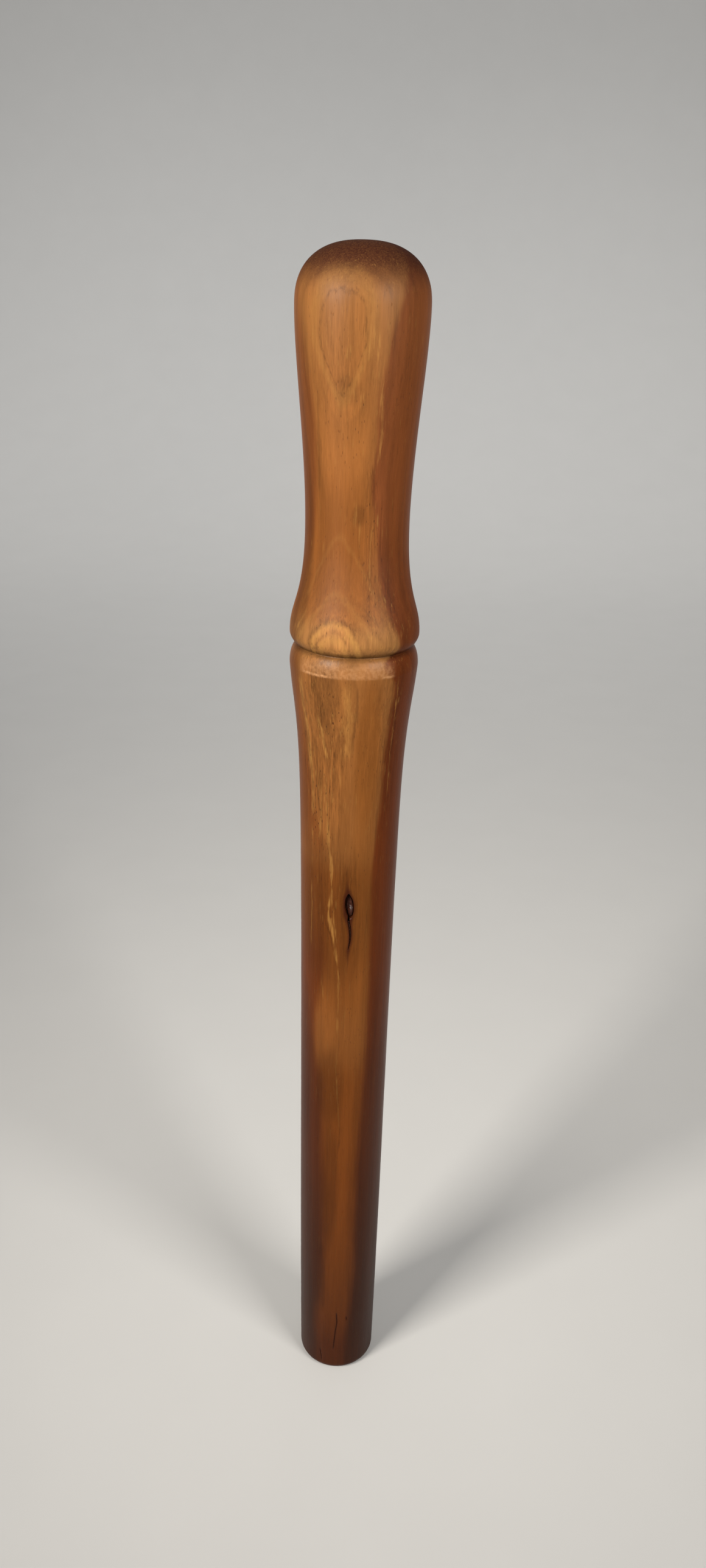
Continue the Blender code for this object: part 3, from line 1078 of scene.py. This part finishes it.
def wood_colour(w, c):
    """Light outer wood and dark inner wood, each with its own colours from the foot to the grip."""
    light = w.blend(w.along(LIGHT_GRIP_SHARE, 0.0, 1.0), solid(c.light_shaft), solid(c.light_grip))
    dark = w.blend(w.along(DARK_GRIP_SHARE, 0.0, 1.0), solid(c.dark_shaft), solid(c.dark_grip))
    light = w.blend(w.strongest([w.panel(*area) for area in AMBER_PANELS]), light, solid(c.amber))
    # The colours of the foot are partly redder wood and partly painted shade.
    light = w.blend(w.along(LIGHT_FOOT_SHADE_SHARE, 0.0, 1.0), light, solid(c.light_foot_with_shade))
    dark = w.blend(w.along(DARK_FOOT_SHADE_SHARE, 0.0, 1.0), dark, solid(c.dark_foot_with_shade))
    return w.blend(light_wood(w), dark, light)


# How strongly each kind of grain lightens and darkens the wood, and how lively the calmest wood is.
DRIFT_TONE = 0.50
LATE_TONE = 0.07
FIBRE_TONE = 0.50
STRAND_TONE = 0.55
RIBBON_TONE = 0.50
CALM = 0.70


def grain_tone(w, busy, fibre, strand):
    """How light the wood is: a tone for each growth layer, a thin dark line at each year's end, and the fibres."""
    layer = growth_layers(w)
    drift = w.noise(w.node_vector(layer, 0.0, w.times(w.z, 0.012)), *DRIFT)
    year = w.math("FRACT", w.times(layer, 1 / RING_WIDTH))
    late = w.times(w.step(year, 0.55, 0.95), w.step(year, 0.95, 1.0, 1.0, 0.0))
    ribbon = w.noise(w.spot, *RIBBON)
    tone = w.add(1.0, w.times(w.less(drift, 0.5), DRIFT_TONE))
    tone = w.less(tone, w.times(late, w.times(busy, LATE_TONE)))
    tone = w.add(tone, w.times(w.less(fibre, 0.5), w.times(busy, FIBRE_TONE)))
    tone = w.add(tone, w.times(w.less(strand, 0.5), w.times(busy, STRAND_TONE)))
    tone = w.add(tone, w.times(w.less(ribbon, 0.5), RIBBON_TONE))
    # Painted shade: the wood is darker along the floor of the groove.
    tone = w.times(tone, w.along(GROOVE_SHADE, 0.0, 1.0))
    pale = w.strongest([w.panel(*area) for area in PALE_PANELS])
    dark = w.strongest([w.panel(*area) for area in DARK_PANELS])
    return w.times(tone, w.add(1.0, w.less(pale, dark)))


# How dark the dark lines and the hollows are beside the wood, and how far the small marks cover it.
DARK_LINE = 0.42
HOLLOW_DARK = 0.45
HOLLOW_COVER = 0.45
DASH_COVER = 0.30
PORE_COVER = 0.60
# Painted glints: how far the pale dots of the pores cover the wood.
PORE_GLINT_COVER = 0.22


def with_lines(w, c, wood, streaks, busy, fibre, strand):
    """The wood with its streaks, closed layers, short dashes and small hollows."""
    broken = w.step(strand, 0.30, 0.60, 0.45, 1.0)
    dots = w.step(w.noise(w.spot, *DOTS), 0.40, 0.64, 0.22, 1.0)
    dark_lines = w.times(w.strongest([w.streak(*line) for line in DARK_STREAKS]), broken)
    dark_arcs = w.times(w.strongest([w.arc(*line) for line in DARK_ARCS]), dots)
    wood = w.blend(w.strongest([dark_lines, dark_arcs]), wood, w.scaled(wood, DARK_LINE))
    gaps = w.times(w.step(strand, 0.38, 0.60, 0.40, 1.0), w.step(fibre, 0.36, 0.60, 0.45, 1.0))
    pale_lines = w.times(w.strongest([w.streak(*line) for line in PALE_STREAKS]), gaps)
    pale_arcs = w.times(w.strongest([w.arc(*line) for line in PALE_ARCS]), w.step(dots, 0.1, 0.9, 1.0, 0.6))
    pale = w.times(w.strongest([pale_lines, pale_arcs]), w.add(0.25, w.times(streaks, 0.75)))
    wood = w.blend(pale, wood, solid(c.streak))
    dashes = w.step(w.noise(w.spot, *DASHES), 0.62, 0.76)
    wood = w.blend(w.times(dashes, w.times(busy, DASH_COVER)), wood, w.scaled(tuple(c.streak), streaks))
    hollows = w.step(w.noise(w.spot, *HOLLOWS), 0.36, 0.24)
    return w.blend(w.times(hollows, w.times(busy, HOLLOW_COVER)), wood, w.scaled(wood, HOLLOW_DARK))


# Satin skin: its roughness, what the strands and the soaked end grain add to it, and its gloss.
SKIN_ROUGHNESS = 0.36
STRAND_ROUGHNESS = 0.12
SOAKED_ROUGHNESS = 0.38
OIL_IOR = 1.30
OIL_GLOSS = 0.22
# Depth of the relief in metres, and how strongly it shows.
FIBRE_RELIEF = (0.00005, 0.30)
STRAND_RELIEF = (0.00010, 0.45)


def oiled_wood():
    """Oiled wood: growth layers, light outer wood, pale and dark streaks, pores, fibres and a satin skin."""
    c = colours()
    w = Wood("oiled_grain")
    streaks = w.along(STREAK_TONE, 0.0, 1.0)
    busy = w.add(CALM, w.strongest([w.panel(*area) for area in BUSY_PANELS]))
    fibre = w.noise(w.spot, *FIBRE)
    strand = w.noise(w.spot, *STRAND)
    wood = w.scaled(wood_colour(w, c), grain_tone(w, busy, fibre, strand))
    soaked = w.times(w.along(END_GRAIN, 0.0, 1.0), w.step(w.noise(w.spot, *SOAK), 0.34, 0.66, 1.0, 0.84))
    wood = w.blend(soaked, wood, solid(c.end_grain))
    wood = with_lines(w, c, wood, streaks, busy, fibre, strand)

    # Open pores, crowded in some places.
    crowd = w.step(w.noise(w.spot, *CROWD), 0.40, 0.66, 0.12, 1.0)
    pores = w.times(w.cells(w.spot, *PORES), w.times(crowd, busy))
    wood = w.blend(w.times(pores, PORE_COVER), wood, solid(c.pore))
    # Painted glints: pale dots where the pores catch the light.
    pale = w.scaled(tuple(c.streak), w.add(0.20, w.times(streaks, 0.60)))
    wood = w.blend(w.times(w.cells(w.spot, *PORE_GLINTS), PORE_GLINT_COVER), wood, pale)

    # Painted highlight on the shoulder of the collar, with some scraped wood.
    wood = w.blend(shoulder_wear_and_highlight(w), wood, solid(c.wear_and_sheen))
    wood = w.blend(w.strongest([knot_stain(w), check_stain(w)]), wood, solid(c.stain))

    w.feed(w.shader.inputs["Base Color"], wood)
    skin_rough = w.add(SKIN_ROUGHNESS, w.times(strand, STRAND_ROUGHNESS))
    dull = w.add(w.times(soaked, SOAKED_ROUGHNESS), w.along(DULL, 0.0, 1.0))
    w.feed(w.shader.inputs["Roughness"], w.add(skin_rough, dull))
    w.shader.inputs["IOR"].default_value = OIL_IOR
    w.shader.inputs["Specular IOR Level"].default_value = OIL_GLOSS
    relief = w.less(1.0, w.times(soaked, 0.90))
    skin = w.bump(w.times(fibre, relief), *FIBRE_RELIEF)
    skin = w.bump(w.times(w.less(strand, w.times(pores, 1.2)), relief), *STRAND_RELIEF, skin)
    w.feed(w.shader.inputs["Normal"], skin)
    return w.material


def grained(recipe, cells, roughness, rgb, redness, low, high, relief):
    """Gives a dark wood its grain: two tones of one colour and a fine relief."""
    grain = recipe.noise(recipe.place(), cells, 4.0, roughness)
    red = tuple(min(1.0, redness * part) for part in rgb)
    tone = recipe.blend(recipe.step(grain, low, high), solid(rgb), solid(red))
    recipe.feed(recipe.shader.inputs["Base Color"], tone)
    recipe.feed(recipe.shader.inputs["Normal"], recipe.bump(grain, 0.0002, relief))
    return grain


def knot_wood():
    """Dead knot: hard dark wood with a faint shine."""
    r = Recipe("knot_grain")
    grain = grained(r, (2.2, 2.2, 0.8), 0.6, colours().knot, 1.8, 0.35, 0.75, 0.5)
    r.feed(r.shader.inputs["Roughness"], r.add(0.30, r.times(grain, 0.25)))
    r.shader.inputs["Specular IOR Level"].default_value = 0.12
    r.shader.inputs["Coat Weight"].default_value = 0.06
    r.shader.inputs["Coat Roughness"].default_value = 0.14
    return r.material


def bark_crust():
    """Crumbling bark: rough and dull."""
    r = Recipe("bark_crust")
    grained(r, (5.0, 5.0, 1.5), 0.65, colours().bark, 2.0, 0.4, 0.8, 0.7)
    r.shader.inputs["Roughness"].default_value = 0.8
    r.shader.inputs["Specular IOR Level"].default_value = 0.15
    return r.material


def floor_paint():
    """Plain pale paint with a barely uneven tone."""
    r = Recipe("pale_floor")
    mottle = r.noise(r.place(), (0.02, 0.02, 0.02), 3.0)
    r.feed(r.shader.inputs["Base Color"], r.scaled(tuple(colours().floor), r.add(0.98, r.times(mottle, 0.04))))
    r.shader.inputs["Roughness"].default_value = 0.85
    r.shader.inputs["Specular IOR Level"].default_value = 0.2
    return r.material


# ---------------------------------------------------------------- operators


class MALLET_OT_turned_wood(bpy.types.Operator):
    """Turns the blank and cuts the knot's hollow, the bark's split and the drying checks into it"""

    bl_idname = "mallet.turned_wood"
    bl_label = "Turned blank"

    def execute(self, context):
        body = turned_wood()
        cutters = [
            knot_hollow(),
            split_solid("bark_split", BARK_SPLIT, BARK_SPLIT_DEPTH),
            split_solid("foot_check", FOOT_CHECK, CHECK_DEPTH),
            split_solid("side_check", SIDE_CHECK, CHECK_DEPTH),
            split_solid("pin_mark", PIN_MARK, CHECK_DEPTH),
        ]
        cut_away(body, cutters)
        smooth(body)
        body.data.materials.clear()
        body.data.materials.append(oiled_wood())
        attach(body, "root")
        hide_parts("turned_body")
        return {"FINISHED"}


class MALLET_OT_dead_knot(bpy.types.Operator):
    """Sets the dead knot into its hollow"""

    bl_idname = "mallet.dead_knot"
    bl_label = "Dead knot"

    def execute(self, context):
        knot = dead_knot()
        knot.data.materials.append(knot_wood())
        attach(knot, "root")
        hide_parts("knot")
        return {"FINISHED"}


class MALLET_OT_bark_seam(bpy.types.Operator):
    """Lays the bark into the split under the knot"""

    bl_idname = "mallet.bark_seam"
    bl_label = "Bark seam"

    def execute(self, context):
        seam = bark_seam()
        seam.data.materials.append(bark_crust())
        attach(seam, "root")
        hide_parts("bark_pocket")
        return {"FINISHED"}


FLOOR_HALF = 7.0
COVE_START = 1.3
COVE_RADIUS = 0.9
COVE_STEPS = 16
WALL_TOP = 3.5
CAMERA_PLACE = (0.0, -0.3808, 0.4285)
CAMERA_PITCH = 23.1
CAMERA_ROLL = 1.487
CAMERA_YAW = 0.118
CAMERA_LENS = 27.03
CAMERA_NEAR = 0.01
SENSOR_HEIGHT = 36.0
# Lights: name, place, aim, width, height, power in watts, spread in degrees, tint.
LIGHTS = (
    ("key", (-0.54, -0.52, 0.68), (0, 0, 0.40), 0.30, 0.40, 3.3, 76, (1.0, 0.96, 0.90)),
    ("fill", (0.50, -0.56, 0.66), (0, 0, 0.38), 0.36, 0.36, 1.8, 76, (1.0, 0.97, 0.93)),
    ("wall", (0.0, 1.0, 2.6), (0, 1.9, 0.4), 2.4, 1.2, 14.0, 88, (1.0, 1.0, 1.0)),
    ("front_floor", (0.0, -2.3, 2.6), (0, -2.7, 0.0), 2.4, 1.2, 14.0, 96, (1.0, 1.0, 1.0)),
)
ROOM_TINT = (0.9, 0.92, 0.95, 1.0)
ROOM_STRENGTH = 0.24


def backdrop():
    """A floor that curves up into a wall behind the mallet."""
    outline = [(-FLOOR_HALF, 0.0), (COVE_START, 0.0)]
    for step in range(1, COVE_STEPS + 1):
        angle = math.radians(90) * step / COVE_STEPS
        outline.append((COVE_START + COVE_RADIUS * math.sin(angle), COVE_RADIUS * (1 - math.cos(angle))))
    outline.append((COVE_START + COVE_RADIUS, WALL_TOP))
    points = []
    for along, up in outline:
        points += [(-FLOOR_HALF, along, up), (FLOOR_HALF, along, up)]
    faces = [(low, low + 1, low + 3, low + 2) for low in range(0, len(points) - 2, 2)]
    obj = mesh_object("floor", points, faces)
    smooth(obj)
    return obj


def soft_light(name, place, aim, width, height, power, spread, tint):
    light = bpy.data.lights.new(name, "AREA")
    light.shape = "RECTANGLE"
    light.size = width
    light.size_y = height
    light.energy = power
    light.color = tint
    light.spread = math.radians(spread)
    obj = add_object(name, light)
    obj.location = place
    obj.rotation_euler = (Vector(aim) - Vector(place)).to_track_quat("-Z", "Y").to_euler()


def camera():
    """Looks down at the mallet from the front, level with its domed end."""
    pitch = math.radians(CAMERA_PITCH)
    yaw = math.radians(CAMERA_YAW)
    roll = math.radians(CAMERA_ROLL)
    ahead = Vector((0, math.cos(pitch), -math.sin(pitch)))
    upward = Vector((0, math.sin(pitch), math.cos(pitch)))
    right = Vector((1, 0, 0))
    ahead, right = ahead * math.cos(yaw) + right * math.sin(yaw), right * math.cos(yaw) - ahead * math.sin(yaw)
    right, upward = right * math.cos(roll) + upward * math.sin(roll), upward * math.cos(roll) - right * math.sin(roll)
    data = bpy.data.cameras.new("camera")
    data.sensor_fit = "VERTICAL"
    data.sensor_height = SENSOR_HEIGHT
    data.lens = CAMERA_LENS
    data.clip_start = CAMERA_NEAR
    obj = add_object("camera", data)
    obj.matrix_world = Matrix.Translation(CAMERA_PLACE) @ Matrix((right, upward, -ahead)).transposed().to_4x4()
    bpy.context.scene.camera = obj


class MALLET_OT_stage(bpy.types.Operator):
    """Lays the pale floor, hangs the soft lights and sets up the camera"""

    bl_idname = "mallet.stage"
    bl_label = "Stage"

    def execute(self, context):
        floor = backdrop()
        floor.data.materials.append(floor_paint())
        for light in LIGHTS:
            soft_light(*light)
        world = bpy.data.worlds.new("studio")
        world.use_nodes = True
        air = world.node_tree.nodes["Background"]
        air.inputs["Color"].default_value = ROOM_TINT
        air.inputs["Strength"].default_value = ROOM_STRENGTH
        context.scene.world = world
        context.scene.view_settings.view_transform = "Standard"
        camera()
        return {"FINISHED"}


class MALLET_PT_sidebar(bpy.types.Panel):
    """Lists what the mallet is made of, with its sizes and colours"""

    bl_idname = "MALLET_PT_sidebar"
    bl_label = "Turned wooden mallet"
    bl_space_type = "VIEW_3D"
    bl_region_type = "UI"
    bl_category = "Mallet"

    def draw(self, context):
        for operator in OPERATORS:
            self.layout.operator(operator.bl_idname)
        for group in (context.scene.mallet_sizes, context.scene.mallet_colours):
            box = self.layout.box()
            for key in group.bl_rna.properties.keys():
                if key not in ("rna_type", "name"):
                    box.prop(group, key)


OPERATORS = (MALLET_OT_turned_wood, MALLET_OT_dead_knot, MALLET_OT_bark_seam, MALLET_OT_stage)
CLASSES = (MalletSizes, MalletColours, *OPERATORS, MALLET_PT_sidebar)


def register():
    for item in CLASSES:
        bpy.utils.register_class(item)
    bpy.types.Scene.mallet_sizes = bpy.props.PointerProperty(type=MalletSizes)
    bpy.types.Scene.mallet_colours = bpy.props.PointerProperty(type=MalletColours)


def unregister():
    del bpy.types.Scene.mallet_colours
    del bpy.types.Scene.mallet_sizes
    for item in reversed(CLASSES):
        bpy.utils.unregister_class(item)


def main():
    register()
    bpy.ops.mallet.turned_wood()
    bpy.ops.mallet.dead_knot()
    bpy.ops.mallet.bark_seam()
    bpy.ops.mallet.stage()


if __name__ == "__main__":
    main()
